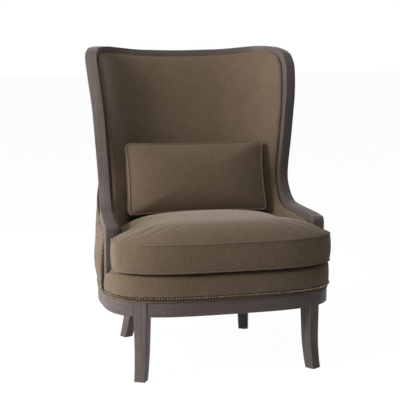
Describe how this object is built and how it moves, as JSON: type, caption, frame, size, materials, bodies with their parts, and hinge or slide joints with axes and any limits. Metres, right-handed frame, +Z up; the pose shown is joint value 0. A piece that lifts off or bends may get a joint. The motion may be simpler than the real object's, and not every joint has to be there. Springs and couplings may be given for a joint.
{
  "type": "fireside chair",
  "caption": "Barrel wing armchair with a show-wood rim and sabre legs, an upholstered shell, a loose T-shaped seat cushion and a loose lumbar pillow.",
  "frame": {"origin": "on the floor, under the middle of the chair's bounding box", "axes": "+Z up, the front of the chair faces -Y, +X is to the right of someone looking at the chair along +Y"},
  "size_m": [0.8258, 0.798, 1.118],
  "materials": {
    "wood": "grey-brown stain with fine pale distress flecks, satin",
    "timber": "unfinished hardwood, hidden",
    "fabric": "matt taupe chenille with a fine weave",
    "spring_steel": "drawn wire",
    "glide": "dark nylon",
    "welt": "double welt in the chair's own fabric",
    "dust_cover": "thin black non-woven cloth"
  },
  "bodies": {
    "chair": {"front_leg_right": "wood", "front_leg_left": "wood", "rear_leg_right": "wood", "rear_leg_left": "wood", "front_rail": "wood", "side_rail_right": "wood", "side_rail_left": "wood", "back_rail": "wood", "arm_post_right": "wood", "arm_post_left": "wood", "arm_right": "wood", "arm_left": "wood", "wing_right": "wood", "wing_left": "wood", "crest_rail": "wood", "front_corner_block_right": "timber", "front_corner_block_left": "timber", "rear_corner_block_right": "timber", "rear_corner_block_left": "timber", "seat_frame_front": "timber", "seat_frame_side_right": "timber", "seat_frame_side_left": "timber", "seat_frame_back": "timber", "back_upright_right": "timber", "back_upright_left": "timber", "back_stretcher_low": "timber", "back_stretcher_high": "timber", "outside_panel_right": "fabric", "outside_panel_left": "fabric", "outside_back": "fabric", "inside_shell": "fabric", "deck_band": "fabric", "deck_pad": "fabric", "seat_spring_1": "spring_steel", "seat_spring_2": "spring_steel", "seat_spring_3": "spring_steel", "seat_spring_4": "spring_steel", "seat_spring_5": "spring_steel", "spring_clip_front_1": "spring_steel", "spring_clip_back_1": "spring_steel", "spring_clip_front_2": "spring_steel", "spring_clip_back_2": "spring_steel", "spring_clip_front_3": "spring_steel", "spring_clip_back_3": "spring_steel", "spring_clip_front_4": "spring_steel", "spring_clip_back_4": "spring_steel", "spring_clip_front_5": "spring_steel", "spring_clip_back_5": "spring_steel", "front_glide_right": "glide", "front_glide_left": "glide", "rear_glide_right": "glide", "rear_glide_left": "glide", "base_welt_front": "welt", "base_welt_back": "welt", "dust_cover": "dust_cover"},
    "cushion": {"seat_cushion": "fabric"},
    "pillow": {"lumbar_pillow": "fabric"}
  },
  "joints": [
    {"name": "cushion_lift", "type": "slide", "parent": "chair", "child": "cushion", "axis": [0, 0, 1], "range_m": [0, 0.12]},
    {"name": "pillow_lift", "type": "slide", "parent": "cushion", "child": "pillow", "axis": [0, -0.5, 0.866], "range_m": [0, 0.12]}
  ]
}
